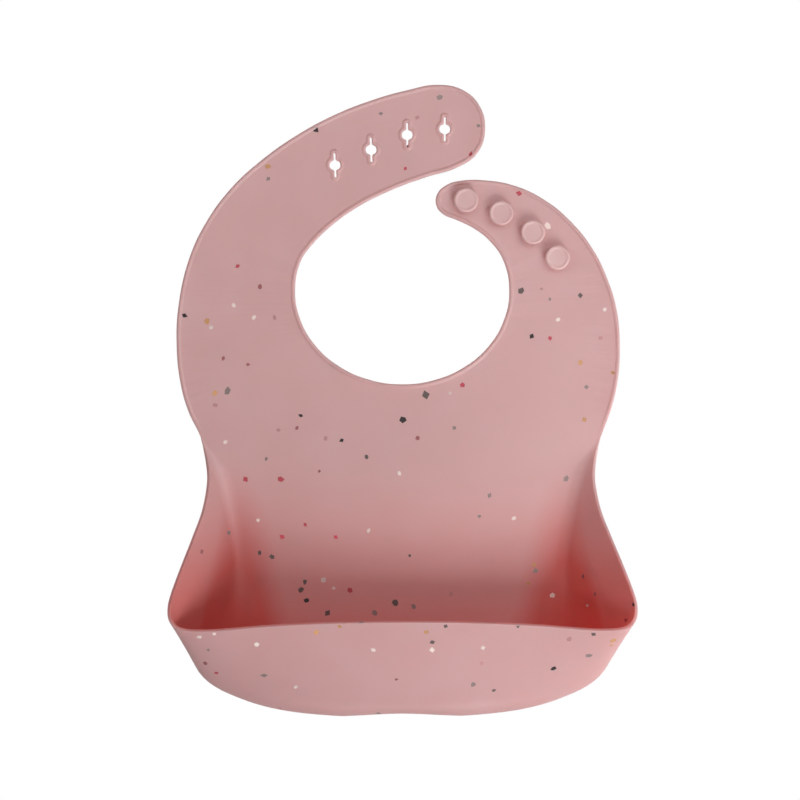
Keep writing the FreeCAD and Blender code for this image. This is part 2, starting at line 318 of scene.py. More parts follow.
# %% Silicone
PALE_ROSE = (0.85, 0.61, 0.61)
DEEP_ROSE = (0.82, 0.57, 0.56)
BUTTON_ROSE = (0.88, 0.65, 0.63)
# Painted shade: the pocket's inner walls are darkened towards this deep red.
PAINTED_POCKET_SHADE = (0.66, 0.17, 0.15)
ROSE_GLOW = (1.0, 0.60, 0.58)
# Painted shade too: deep in the pocket the light let through turns this red.
PAINTED_SHADE_GLOW = (1.0, 0.15, 0.12)
SILICONE_IOR = 1.41
CLOUD_SCALE = 45
# The satin of the skin: the scale of its noise, and its least and most roughness.
SATIN_SCALE = 220
SATIN = (0.40, 0.50)
FINISH = {"IOR": SILICONE_IOR, "Specular IOR Level": 1.0, "Coat Weight": 0.6,
          "Coat IOR": SILICONE_IOR, "Coat Roughness": 0.4, "Sheen Weight": 0.05,
          "Sheen Roughness": 0.5}
GRAIN_STRENGTH = 0.25
# The part of a noise's values that is stretched to the wanted range.
NOISE_RANGE = (0.3, 0.7)


def noise(tree, place, scale, detail, low_value, high_value):
    """A noise in the frame of the bib, stretched to run from one value to another."""
    pattern = tree.nodes.new("ShaderNodeTexNoise")
    pattern.inputs["Scale"].default_value = scale
    pattern.inputs["Detail"].default_value = detail
    tree.links.new(place, pattern.inputs["Vector"])
    spread = tree.nodes.new("ShaderNodeMapRange")
    spread.inputs["From Min"].default_value = NOISE_RANGE[0]
    spread.inputs["From Max"].default_value = NOISE_RANGE[1]
    spread.inputs["To Min"].default_value = low_value
    spread.inputs["To Max"].default_value = high_value
    tree.links.new(pattern.outputs["Fac"], spread.inputs["Value"])
    return spread.outputs["Result"]


def silicone(name, pale, glow_share, grain_scale, grain_depth):
    """Matt moulded silicone: two close shades clouded together, and light that passes."""
    material, tree = new_material(name)
    place = tree.nodes.new("ShaderNodeTexCoord").outputs["Object"]
    inside = painted_shade_share(tree, place)
    clouded = blended(tree, noise(tree, place, CLOUD_SCALE, 3, 0, 1), DEEP_ROSE, pale)
    skin = tree.nodes["Principled BSDF"]
    for setting, value in FINISH.items():
        skin.inputs[setting].default_value = value
    # The base colour is darkened towards the painted shade down the pocket's inner walls.
    tree.links.new(blended(tree, inside, clouded, PAINTED_POCKET_SHADE), skin.inputs["Base Color"])
    tree.links.new(noise(tree, place, SATIN_SCALE, 2, *SATIN), skin.inputs["Roughness"])
    grain = tree.nodes.new("ShaderNodeBump")
    grain.inputs["Strength"].default_value = GRAIN_STRENGTH
    grain.inputs["Distance"].default_value = grain_depth * MM
    tree.links.new(noise(tree, place, grain_scale, 2, 0, 1), grain.inputs["Height"])
    tree.links.new(grain.outputs["Normal"], skin.inputs["Normal"])
    through = tree.nodes.new("ShaderNodeBsdfTranslucent")
    # The light let through is reddened there with the same painted shade.
    tree.links.new(blended(tree, inside, ROSE_GLOW, PAINTED_SHADE_GLOW), through.inputs["Color"])
    show_mix(tree, glow_share, skin.outputs[0], through.outputs[0])
    return material


rose = silicone("rose silicone", PALE_ROSE, glow_share=0.42, grain_scale=1600,
                grain_depth=0.05)
rose_button = silicone("rose button silicone", BUTTON_ROSE, glow_share=0.3, grain_scale=750,
                       grain_depth=0.35)
print("silicone", rose.name, "and", rose_button.name)

# %% [markdown]
# ## Inner cuts
# The skin is made in several closed pieces, which meet face to face inside the sheet. An
# opaque face there would throw a dark line on a skin that glows. So the faces of the
# cuts have a finish of their own that lets light pass freely.

# %% Inner cuts
inner_cut, tree = new_material("inner cut")
clear = tree.nodes.new("ShaderNodeBsdfTransparent")
tree.links.new(clear.outputs[0], tree.nodes["Material Output"].inputs["Surface"])
print("finish of the cuts", inner_cut.name)

# %% [markdown]
# ## Outline of the sheet
# The flat sheet is drawn as one closed curve: up the right side, round the tip of the
# button strap, round the neck, over the buttonhole strap and down the left side. A
# Bezier curve with automatic handles needs one point wherever the edge changes its
# bend, and the neck is more than half an ellipse. The curve runs on below the waist,
# where it is cut off later.

# %% Outline of the sheet
RIGHT_SIDE = [
    (95.7, -82), (98.3, -74), (103, -61.3), (106.4, -46.6), (107.4, -30), (105.9, -12.3),
    (101.5, 2.5), (94.4, 17.2), (83, 31.5), (70, 42), (55, 48.9), (40, 51.4), (30, 51.2),
    (22.4, 49.1), (17.7, 44.5), (17.3, 39), (20.6, 34.8), (27.5, 31.8), (36, 27.6), (43.8, 21.4),
]
LEFT_SIDE = [
    (-44.8, 18.2), (-35.7, 27.6), (-22.2, 37.6), (-5.5, 46.2), (12, 52.8), (28, 57.9),
    (37.4, 64.7), (41.2, 76), (38.4, 88), (30.2, 95.6), (18, 98.1), (3, 95.4), (-14.7, 90.3),
    (-33, 83), (-51, 73.2), (-68, 61.2), (-83.7, 46.6), (-96, 29.4), (-103.8, 12.3),
    (-108.8, -10), (-109.8, -28), (-107.9, -48), (-104, -62), (-98.3, -74), (-95.7, -82),
]
NECK_CENTRE = (0.6, -3.0)
NECK_HALF_WIDTH = 52.5
NECK_HALF_HEIGHT = 45.7
NECK_END = math.radians(19)
NECK_STEPS = 12
OUTLINE_STEPS = 8


def neck_arc():
    """Points from strap to strap, round the lower side of the neck opening."""
    turn = (math.pi + 2 * NECK_END) / NECK_STEPS
    angles = [NECK_END - turn * step for step in range(NECK_STEPS + 1)]
    return [(NECK_CENTRE[0] + NECK_HALF_WIDTH * math.cos(angle),
             NECK_CENTRE[1] + NECK_HALF_HEIGHT * math.sin(angle)) for angle in angles]


def closed_curve(points, steps):
    """A mesh loop on a smooth closed curve through points (x, z)."""
    data = bpy.data.curves.new("outline", "CURVE")
    data.dimensions = "3D"
    data.resolution_u = steps
    spline = data.splines.new("BEZIER")
    spline.bezier_points.add(len(points) - 1)
    spline.use_cyclic_u = True
    for knot, (x, z) in zip(spline.bezier_points, points):
        knot.co = (x, 0, z)
        knot.handle_left_type = "AUTO"
        knot.handle_right_type = "AUTO"
    drawn = bpy.data.objects.new("outline", data)
    bpy.context.collection.objects.link(drawn)
    view = bpy.context.evaluated_depsgraph_get()
    mesh = bpy.data.meshes.new_from_object(drawn.evaluated_get(view))
    bpy.data.objects.remove(drawn)
    bpy.data.curves.remove(data)
    return mesh


sheet_outline = closed_curve(RIGHT_SIDE + neck_arc() + LEFT_SIDE, OUTLINE_STEPS)
print("outline of", len(sheet_outline.vertices), "points")

# %% [markdown]
# ## Sheet with its bead
# A raised bead runs round the free edges, to stiffen them and to keep crumbs in. The
# outline is filled, extruded to the sheet's thickness and then inset again and again.
# Each inset is a little further in and has its own height, so the rings together
# draw the bead's round profile. The back edge is rounded the same way.

# %% Sheet with its bead
SHEET = 1.8
# The depths of the outer edge's two borders, in front of the sheet's back.
SIDE_WALL = (0.35, 1.75)
# The rings of each face from there inwards: (step inwards, depth).
BACK_ROUNDING = [(0.10, 0.10), (0.25, 0.0), (0.30, 0.0)]
BEAD = [(0.12, 2.05), (0.26, 2.36), (0.42, 2.55), (0.45, 2.55), (0.35, 2.36), (0.30, 2.04),
        (0.25, 1.86), (0.30, SHEET)]
# Points closer than this are one point.
TINY = 0.01


def forward(verts, depth):
    """Puts vertices at a depth in front of the sheet's back."""
    for vert in verts:
        vert.co.y = -depth


def rings(bm, face, profile):
    """Insets a face once for each (step inwards, depth)."""
    for step, depth in profile:
        bmesh.ops.inset_region(bm, faces=[face], thickness=step, use_even_offset=True)
        forward(face.verts, depth)


def beaded_sheet():
    """The whole flat sheet: its front and back faces are left as two large faces."""
    bm = bmesh.new()
    bm.from_mesh(sheet_outline)
    bmesh.ops.remove_doubles(bm, verts=bm.verts, dist=TINY)
    back = bmesh.ops.contextual_create(bm, geom=bm.edges[:])["faces"][0]
    moved = bmesh.ops.extrude_face_region(bm, geom=[back], use_keep_orig=True)["geom"]
    front = [part for part in moved if isinstance(part, bmesh.types.BMFace)][0]
    forward(back.verts, SIDE_WALL[0])
    forward(front.verts, SIDE_WALL[1])
    bmesh.ops.recalc_face_normals(bm, faces=bm.faces)
    rings(bm, back, BACK_ROUNDING)
    rings(bm, front, BEAD)
    return bm, front, back


print("the bead is", round(sum(step for step, depth in BEAD), 2), "mm wide")

# %% [markdown]
# ## Buttonholes
# Each buttonhole is a round hole with a slit above and below it, so that it gives way
# for a button's head, and a raised border keeps it from tearing. The same small curve,
# grown step by step, gives a stack of rings with equal numbers of points, and bridging
# them makes the border and the wall of the hole. They are bridged while they stand well
# apart, because rings that lie inside each other can be joined with a twist.

# %% Buttonholes
HOLE = 2.65
SLIT = 0.45
SLIT_END = 6.0
# Two points near the corner between hole and slit, and the fullness of the slit's end.
SOFT_CORNER = ((0.12, -0.08), (0.0, 0.3))
END_FULLNESS = 0.72
LOOP_STEPS = 3
BRIDGE_GAP = 10
# ((x, z), lean in degrees)
BUTTONHOLES = [((-32.4, 58.6), 3), ((-14.7, 66.2), 2), ((3.0, 73.5), 1), ((21.4, 76.4), 0)]
# (how much the keyhole is grown, depth in front of the sheet's back)
HOLE_PROFILE = [(0.65, 0.0), (0.35, 0.0), (0.10, 0.10), (0.0, 0.35), (0.0, 1.75), (0.08, 2.1),
                (0.28, 2.42), (0.62, 2.62), (1.0, 2.60), (1.32, 2.40), (1.58, 2.08),
                (1.8, 1.88), (2.1, SHEET), (2.4, SHEET)]


def keyhole(place, lean, grow):
    """Points (x, z) round a buttonhole that is larger all round by grow.

    One quarter is drawn, and the other three are its mirror images.
    """
    radius = HOLE + grow
    side = SLIT + grow
    join = math.sqrt(radius ** 2 - side ** 2)
    middle = math.atan2(join, side) / 2
    top = SLIT_END - SLIT
    corner = [(side + x, join + z) for x, z in SOFT_CORNER]
    quarter = [(radius, 0), (radius * math.cos(middle), radius * math.sin(middle)), *corner,
               (side, top), (side * END_FULLNESS, top + side * END_FULLNESS)]
    right = quarter + [(0, top + side)] + [(-x, z) for x, z in reversed(quarter[1:])]
    whole = right + [(-x, -z) for x, z in right]
    turn = math.radians(lean)
    return [(place[0] + x * math.cos(turn) - z * math.sin(turn),
             place[1] + x * math.sin(turn) + z * math.cos(turn)) for x, z in whole]


def loop_edges(bm, points):
    """Adds a smooth closed loop to a bmesh and gives back its edges."""
    known = set(bm.edges)
    mesh = closed_curve(points, LOOP_STEPS)
    bm.from_mesh(mesh)
    bpy.data.meshes.remove(mesh)
    return [edge for edge in bm.edges if edge not in known]


def ends(edges):
    """The vertices of some edges."""
    return {vert for edge in edges for vert in edge.verts}


def buttonhole_wall(bm, place, lean):
    """The wall of one buttonhole: gives back its edge loops at the back and the front."""
    loops = [loop_edges(bm, keyhole(place, lean, grow)) for grow, depth in HOLE_PROFILE]
    for number, loop in enumerate(loops):
        forward(ends(loop), BRIDGE_GAP * number)
    for inner, outer in zip(loops, loops[1:]):
        bmesh.ops.bridge_loops(bm, edges=inner + outer)
    for loop, (grow, depth) in zip(loops, HOLE_PROFILE):
        forward(ends(loop), depth)
    return loops[0], loops[-1]


def open_face(bm, face, loops):
    """Divides a flat face round the loops in it, and takes out what lies inside them."""
    border = list(face.verts)
    net = []
    for loop in loops:
        net += loop
        rising = sorted(ends(loop), key=lambda vert: vert.co.z)
        for tip in (rising[0], rising[-1]):
            near = min(border, key=lambda vert: (vert.co - tip.co).length)
            net.append(bm.edges.new((tip, near)))
    parts = bmesh.utils.face_split_edgenet(face, net)
    insides = [part for part in parts if any(set(part.edges) == set(loop) for loop in loops)]
    kept = [part for part in parts if part not in insides]
    bmesh.ops.delete(bm, geom=insides, context="FACES_ONLY")
    bmesh.ops.triangulate(bm, faces=kept, ngon_method="BEAUTY")
    return len(insides)


bm, front, back = beaded_sheet()
walls = [buttonhole_wall(bm, place, lean) for place, lean in BUTTONHOLES]
opened = open_face(bm, back, [at_back for at_back, at_front in walls])
opened += open_face(bm, front, [at_front for at_back, at_front in walls])
print("opened", opened, "loops")
bmesh.ops.recalc_face_normals(bm, faces=bm.faces)
whole_sheet = bpy.data.meshes.new("whole sheet")
bm.to_mesh(whole_sheet)
print("sheet with buttonholes", len(bm.faces), "faces,",
      len([edge for edge in bm.edges if not edge.is_manifold]), "open edges,",
      round(bm.calc_volume() / 1000, 2), "cm3")
bm.free()

# %% [markdown]
# ## Cutting the sheet
# The straps bend when the bib is put on, and each stretch of skin can follow only one
# bend. So copies of the sheet are cut into five pieces, with every cut placed where the
# silicone stays still. Where a piece bends, more cuts across it give it enough rows
# of points to curve in even steps. The cuts leave their faces whole, they only divide.

# %% Cutting tools
SHARP = math.radians(38)


def keep_side(bm, place, direction):
    """Cuts away what lies beyond a plane at (x, z), and closes the cut."""
    point = Vector((place[0], 0, place[1]))
    normal = Vector((direction[0], 0, direction[1]))
    every = bm.verts[:] + bm.edges[:] + bm.faces[:]
    bmesh.ops.bisect_plane(bm, geom=every, plane_co=point, plane_no=normal, clear_outer=True)
    open_edges = [edge for edge in bm.edges if edge.is_boundary]
    for face in bmesh.ops.holes_fill(bm, edges=open_edges, sides=0)["faces"]:
        face.material_index = 1


def divide(bm, place, direction, first, last, step):
    """Adds cuts across a piece, from one distance to another along a direction."""
    normal = Vector((direction[0], 0, direction[1])).normalized()
    start = Vector((place[0], 0, place[1]))
    count = round((last - first) / step)
    for number in range(count + 1):
        point = start + normal * (first + step * number)
        every = bm.verts[:] + bm.edges[:] + bm.faces[:]
        bmesh.ops.bisect_plane(bm, geom=every, plane_co=point, plane_no=normal)


def smooth_piece(bm, name, *materials):
    """A finished object with smooth shading that keeps its crisp edges."""
    for face in bm.faces:
        face.smooth = True
    piece = finished(bm, name, *materials)
    piece.data.set_sharp_from_angle(angle=SHARP)
    return piece


def sheet_part(cuts):
    """A copy of the whole sheet, cut at each (place, direction)."""
    bm = bmesh.new()
    bm.from_mesh(whole_sheet)
    for place, direction in cuts:
        keep_side(bm, place, direction)
    return bm


UP = (0, 1)
DOWN = (0, -1)
LEFT = (-1, 0)
RIGHT = (1, 0)
print("a face angle over", round(math.degrees(SHARP)), "degrees stays a crisp edge")

# %% [markdown]
# ## Swell of the panel
# The walls of the pocket pull on the panel between them, so it isn't quite flat: it
# swells forward by a few millimetres in the middle. A plain face has no points inside
# it that could move, so the chest is first divided into a net. Across the panel the
# swell is a parabola, and it rises from nothing with a smooth start and end.

# %% Swell of the panel
WAIST = -74.0
SWELL = 8.5
SWELL_TOP = -46.0
SWELL_FULL = -115.0
NARROWEST = -137.0
# Half the width that swells at the narrowest place, and how it widens up to the waist.
NARROW_HALF = 80.0
WIDENING = 17.0 / (WAIST - NARROWEST) ** 2


def swell(x, z):
    """How far the panel between the creases stands forward at (x, z)."""
    half = NARROW_HALF + WIDENING * max(0.0, z - NARROWEST) ** 2
    rise = max(0.0, min(1.0, (SWELL_TOP - z) / (SWELL_TOP - SWELL_FULL)))
    return SWELL * rise * rise * (3 - 2 * rise) * max(0.0, 1 - (x / half) ** 2)


print("swell at the narrowest place", round(swell(0, NARROWEST), 1), "mm")

# %% [markdown]
# ## Chest
# The chest reaches from the waist to just under the bend of the straps. Its bead fades
# out over the last stretch above the waist, where the edge of the sheet begins to roll
# forward into the wall of the pocket.

# %% Chest
SHOULDER = -42.0
BEAD_FADE = 16.0
NET = 5.0
CHEST_NET = 90.0
bm = sheet_part([((0, WAIST), DOWN), ((0, SHOULDER), UP)])
divide(bm, (0, 0), UP, WAIST + NET, SHOULDER - NET, NET)
divide(bm, (0, 0), RIGHT, -CHEST_NET, CHEST_NET, NET)
for vert in bm.verts:
    left_over = max(0.0, min(1.0, (vert.co.z - WAIST) / BEAD_FADE))
    relief = -vert.co.y - SHEET
    if relief > 0:
        vert.co.y = -(SHEET + relief * left_over)
    vert.co.y -= swell(vert.co.x, vert.co.z)
chest = smooth_piece(bm, "chest_skin", rose, inner_cut)
print("chest", len(chest.data.polygons), "faces")

# %% [markdown]
# ## Straps
# Each strap is an arm and an end. The arm bends at the shoulder and the end curls about
# a slanted line across the strap, and the rows of points stand square to that bend. One
# slanting plane through the gap keeps the tips of the two straps apart.

# %% Strap arms and ends
STRAP_CUT = 5.0
SHOULDER_START = -38.0
SHOULDER_END = 2.0
BEND_STEP = 2.5
# Where each end curls, the strap's direction there, and half the stretch that bends.
LEFT_CURL = (-59.0, 38.0)
LEFT_ALONG = (0.695, 0.719)
LEFT_REACH = 16.0
RIGHT_CURL = (56.6, 30.3)
RIGHT_ALONG = (-0.857, 0.515)
RIGHT_REACH = 9.0
CURL_ROWS = 8
# The cut between the two tips: a point of it, and the directions to its two sides.
GAP_PLACE = (0, 34.3)
ACROSS_GAP = (0.6, -0.8)
ACROSS_BACK = (-0.6, 0.8)

straps = {}
for side, away in (("left", RIGHT), ("right", LEFT)):
    bm = sheet_part([((0, SHOULDER), DOWN), ((0, STRAP_CUT), UP), ((0, 0), away)])
    divide(bm, (0, 0), UP, SHOULDER_START, SHOULDER_END, BEND_STEP)
    straps[side + "_arm"] = smooth_piece(bm, side + "_arm_skin", rose, inner_cut)

for side, away, place, along, reach in (
        ("left", ACROSS_GAP, LEFT_CURL, LEFT_ALONG, LEFT_REACH),
        ("right", ACROSS_BACK, RIGHT_CURL, RIGHT_ALONG, RIGHT_REACH)):
    bm = sheet_part([((0, STRAP_CUT), DOWN), (GAP_PLACE, away)])
    divide(bm, place, along, -reach, reach, reach / CURL_ROWS)
    straps[side + "_end"] = smooth_piece(bm, side + "_end_skin", rose, inner_cut)
for name, piece in straps.items():
    print(name, len(piece.data.polygons), "faces")

# %% [markdown]
# ## Pocket
# Below the waist the sides of the sheet curl forward and meet in a deep front wall. The
# whole wall is one surface: at each station from the waist to the middle of the front,
# a line leaves the panel, turns through a round fold and runs to the rim. A plain grid
# is bent to that rule, so its rows run smoothly all the way round, and the flat back
# of the pocket is filled in from the edge that the grid leaves open.

# %% Pocket stations
# (panel x, z, corner x, z, rim x, rim forward, rim z, fold radius, least share of the wall
# that the fold takes up), right half
STATIONS = [
    (82, -74, 97.3, -74, 98.3, 0, -74, 20, 0.4),
    (77.5, -80.5, 94.6, -80, 96.5, 0.9, -80, 16, 0.3),
    (73, -88, 91.2, -87, 94.8, 4.2, -87, 13, 0.2),
    (67.5, -97.5, 88, -96, 93.8, 9.8, -96.2, 11, 0.15),
    (62, -111, 84.5, -110, 95.6, 18.5, -109.4, 10, 0.15),
    (58, -124, 81.5, -123, 99.6, 26.5, -121.5, 10, 0.15),
    (55, -137, 79.5, -137, 104.3, 34.8, -134.5, 10, 0.15),
    (52, -149, 80, -154, 108.8, 40.6, -147.5, 10, 0.2),
    (49, -158, 86, -172, 110.2, 42.6, -154.5, 11, 0.3),
    (46, -165, 94, -188, 109.2, 43.2, -160.2, 12, 0.4),
    (43, -170, 91, -203, 104.5, 43.4, -164, 13, 0.4),
    (38, -173, 76.5, -214.5, 90.5, 43.4, -164.7, 13, 0.4),
    (31, -174, 57, -225.5, 61, 43.4, -162.4, 11, 0.4),
    (18, -174.5, 30, -232, 30, 43.4, -161.1, 10, 0.4),
    (0, -174.5, 0, -233.5, 0, 43.4, -160.8, 10, 0.4),
]
MIRRORED = [tuple(-value if index in (0, 2, 4) else value for index, value in enumerate(row))
            for row in reversed(STATIONS[:-1])]
ROUND_TRIP = STATIONS + MIRRORED
# The least turn in radians that makes a fold, and the greatest shares of the two straight
# runs, on the panel and on the wall, that its fold may take.
LEAST_TURN = 0.02
PANEL_SHARE = 0.92
WALL_SHARE = 0.8


def between_stations(place):
    """The nine measures of the wall at a place between stations, on a smooth line."""
    last = len(ROUND_TRIP) - 1
    index = min(int(place), last - 1)
    t = place - index
    rows = [ROUND_TRIP[max(0, min(last, index + step))] for step in (-1, 0, 1, 2)]
    measures = []
    for a, b, c, d in zip(*rows):
        a = 2 * b - c if index == 0 else a
        d = 2 * c - b if index == last - 1 else d
        curve = (3 * b - a - 3 * c + d) * t ** 3 + (2 * a - 5 * b + 4 * c - d) * t ** 2
        measures.append(0.5 * (curve + (c - a) * t + 2 * b))
    return measures


def wall_line(place):
    """A function from 0 at the panel to 1 at the rim, along the middle of the sheet."""
    px, pz, cx, cz, rx, out, rz, radius, least = between_stations(place)
    panel, corner, rim = Vector((px, 0, pz)), Vector((cx, 0, cz)), Vector((rx, -out, rz))
    into = (corner - panel).normalized()
    away = (rim - corner).normalized()
    turn = into.angle(away)
    wall = (rim - corner).length
    run = (corner - panel).length
    reach = min(radius * math.tan(turn / 2), PANEL_SHARE * run, WALL_SHARE * wall)
    reach = max(reach, least * wall)
    folded = turn > LEAST_TURN
    fold = reach / math.tan(turn / 2) if folded else 0
    first = run - reach
    arc = fold * turn if folded else 2 * reach
    last = wall - reach
    side = (away - into * into.dot(away)).normalized() if folded else Vector()

    def spot(share):
        gone = share * (first + arc + last)
        if gone <= first:
            return panel + into * gone
        if gone >= first + arc:
            return rim - away * (first + arc + last - gone)
        if not folded:
            return panel + into * gone
        angle = (gone - first) / fold
        along = first + fold * math.sin(angle)
        return panel + into * along + side * fold * (1 - math.cos(angle))

    return spot


print(len(ROUND_TRIP), "stations round the pocket")

# %% [markdown]
# ## Pocket surface
# The grid gives the middle of the sheet. Solidify then grows it to the sheet's thickness,
# one skin each way, and a bevel rounds the rim. Every point of the inner skin keeps its
# share of the painted shade, most of it in the crease where the wall leaves the panel.

# %% Pocket surface
COLUMNS = 168
ROWS = 56
# The cuts that divide the flat back: (direction, first, last)
BACK_NET = ((RIGHT, -80, 80), (UP, -170, -80))
# The share of painted shade on the flat back and on the wall, and the painted crease shade added on top.
FLAT_SHADE = 0.47
WALL_SHADE = 0.85
CREASE_SHADE = 0.5
# Shares of the wall's line: where the painted shade starts to rise, and the middle and half width of the
# crease's painted shade.
WALL_START = 0.12
CREASE_PLACE = 0.38
CREASE_WIDTH = 0.32


def pocket_surface():
    """The middle of the pocket's sheet: the bent wall and the flat back inside it."""
    bm = bmesh.new()
    depth = bm.verts.layers.float.new(PAINTED_SHADE_ATTRIBUTE)
    bmesh.ops.create_grid(bm, x_segments=COLUMNS, y_segments=ROWS, size=0.5)
    lines = [wall_line((len(ROUND_TRIP) - 1) * step / COLUMNS) for step in range(COLUMNS + 1)]
    foot = []
    for vert in bm.verts:
        column = round((vert.co.x + 0.5) * COLUMNS)
        share = vert.co.y + 0.5
        vert.co = lines[column](share)
        # Painted shade: each point of the wall gets a share that rises up the wall and peaks in the crease.
        rise = max(0.0, min(1.0, (share - WALL_START) / (CREASE_PLACE - WALL_START)))
        crease = max(0.0, 1 - ((share - CREASE_PLACE) / CREASE_WIDTH) ** 2)
        vert[depth] = FLAT_SHADE + (WALL_SHADE - FLAT_SHADE) * rise + CREASE_SHADE * crease
        if share < 0.5 / ROWS:
            foot.append((column, vert))
    foot = [vert for column, vert in sorted(foot, key=lambda pair: pair[0])]
    bm.edges.new((foot[0], foot[-1]))
    ring = [edge for edge in bm.edges if edge.verts[0] in foot and edge.verts[1] in foot]
    patch = bmesh.ops.contextual_create(bm, geom=ring)["faces"]
    for direction, first, last in BACK_NET:
        for step in range(first, last + 1, round(NET)):
            normal = Vector((direction[0], 0, direction[1]))
            every = patch + list({edge for face in patch for edge in face.edges})
            every += list({vert for face in patch for vert in face.verts})
            cut = bmesh.ops.bisect_plane(bm, geom=every, plane_co=normal * step, plane_no=normal)
            patch = [part for part in cut["geom"] if isinstance(part, bmesh.types.BMFace)]
    # The flat back keeps the plain share of painted shade.
    for vert in {vert for face in patch for vert in face.verts}:
        vert[depth] = FLAT_SHADE
    print("net of", len(patch), "faces in the back")
    bmesh.ops.recalc_face_normals(bm, faces=bm.faces)
    return bm


bm = pocket_surface()

# %% [markdown]
# ## Pocket skin
# The faces must look outwards before they are grown, and the first row has to grow
# straight back, so that the pocket meets the flat chest without a step. The swell of the
# panel is added last. It fades out where the walls leave the panel.

# %% Pocket skin
RIM_ROUNDING = 0.8
RIM_ANGLE = 1.0
# How far in front of the back the swell ends, and the depth over which it fades.
SWELL_END = 20.0
SWELL_FADE = 17.0
top = max(bm.faces, key=lambda face: face.calc_center_median().z)
if top.normal.y < 0:
    bmesh.ops.reverse_faces(bm, faces=bm.faces)
bm.normal_update()
for vert in bm.verts:
    if vert.co.z > WAIST - TINY:
        vert.normal = (0, 1, 0)
shifts = [(vert, vert.normal * SHEET / 2) for vert in bm.verts]
for vert, shift in shifts:
    vert.co += shift - Vector((0, SHEET / 2, 0))
added = bmesh.ops.solidify(bm, geom=bm.faces[:], thickness=SHEET)["geom"]
inner = {vert for face in added if isinstance(face, bmesh.types.BMFace) for vert in face.verts}
depth = bm.verts.layers.float[PAINTED_SHADE_ATTRIBUTE]
# Only the inner skin takes painted shade: the outer skin's share is 0.
for vert in bm.verts:
    if vert not in inner:
        vert[depth] = 0.0
print("deepest share of shade", round(max(vert[depth] for vert in inner), 2))
bm.normal_update()
for face in bm.faces:
    if min(vert.co.z for vert in face.verts) > WAIST - TINY:
        face.material_index = 1
rim_edges = [edge for edge in bm.edges
             if edge.is_manifold and edge.calc_face_angle() > RIM_ANGLE
             and min(vert.co.z for vert in edge.verts) < WAIST - TINY]
bmesh.ops.bevel(bm, geom=rim_edges, offset=RIM_ROUNDING, segments=4, profile=0.5,
                affect="EDGES", material=-1, clamp_overlap=True)
for vert in bm.verts:
    near_back = max(0.0, min(1.0, (SWELL_END + vert.co.y) / SWELL_FADE))
    vert.co.y -= swell(vert.co.x, vert.co.z) * near_back
pocket = smooth_piece(bm, "pocket_skin", rose, inner_cut)
print("pocket", len(pocket.data.polygons), "faces,", len(rim_edges), "rim edges")

# %% [markdown]
# ## Buttons
# Four mushroom-shaped buttons stand on the front of the right strap. Each is one profile
# turned about its own axis: a fillet at the foot, a short stem, a flat underside, a
# rounded rim and a low ring round a slightly sunk bare face.

# %% Buttons
BUTTONS = [(31.7, 41.3), (48.9, 35.0), (64.4, 25.7), (76.5, 13.3)]
BUTTONS_ON_END = 2
BUTTON_STEPS = 64
# (radius, depth in front of the sheet's back) of half a button
BUTTON_PROFILE = [
    (3.6, 1.6), (3.2, 1.86), (2.82, 2.15), (2.62, 2.6), (2.6, 3.6), (2.75, 3.95), (3.2, 4.1),
    (5.2, 4.15), (5.7, 4.3), (6.02, 4.65), (6.1, 5.05), (6.0, 5.5), (5.72, 5.86), (5.35, 6.05),
    (4.95, 6.08), (4.65, 5.98), (4.4, 5.8), (4.15, 5.7), (3.8, 5.68), (2.0, 5.66), (0, 5.66),
]


def button(name, place):
    """One button, spun about an axis along Y through its place on the strap."""
    bm = bmesh.new()
    line = [bm.verts.new((radius, -depth, 0)) for radius, depth in BUTTON_PROFILE]
    edges = [bm.edges.new(pair) for pair in zip(line, line[1:])]
    bmesh.ops.spin(bm, geom=line + edges, cent=(0, 0, 0), axis=(0, 1, 0), angle=2 * math.pi,
                   steps=BUTTON_STEPS, use_merge=True)
    bmesh.ops.remove_doubles(bm, verts=bm.verts, dist=TINY)
    open_edges = [edge for edge in bm.edges if edge.is_boundary]
    bmesh.ops.holes_fill(bm, edges=open_edges, sides=0)
    bmesh.ops.recalc_face_normals(bm, faces=bm.faces)
    bmesh.ops.translate(bm, verts=bm.verts, vec=(place[0], 0, place[1]))
    return smooth_piece(bm, name, rose_button)


buttons = [button(f"button_{number}_skin", place) for number, place in enumerate(BUTTONS, 1)]
print(len(buttons), "buttons of", len(buttons[0].data.polygons), "faces")

# %% [markdown]
# ## Flakes
# The speckle is made of flakes of cured silicone in other colours, stirred into the mix
# before it is moulded. A noise texture would give soft dots, all alike, so each flake is
# a thin piece with a few corners of its own. Its corners are dropped on the skin, and it
# is then given a little depth into the sheet. The places on the front were picked and
# turned into millimetres. On the back and the outer walls the flakes fall by chance.

# %% Flake colours and places
FLAKE_PAINT = {
    "coal": (0.025, 0.014, 0.016), "slate": (0.13, 0.095, 0.09), "ash": (0.31, 0.23, 0.22),
    "cherry": (0.60, 0.09, 0.12), "plum": (0.36, 0.12, 0.12), "blush": (0.58, 0.29, 0.29),
    "amber": (0.66, 0.34, 0.16), "cream": (0.92, 0.74, 0.69),
}
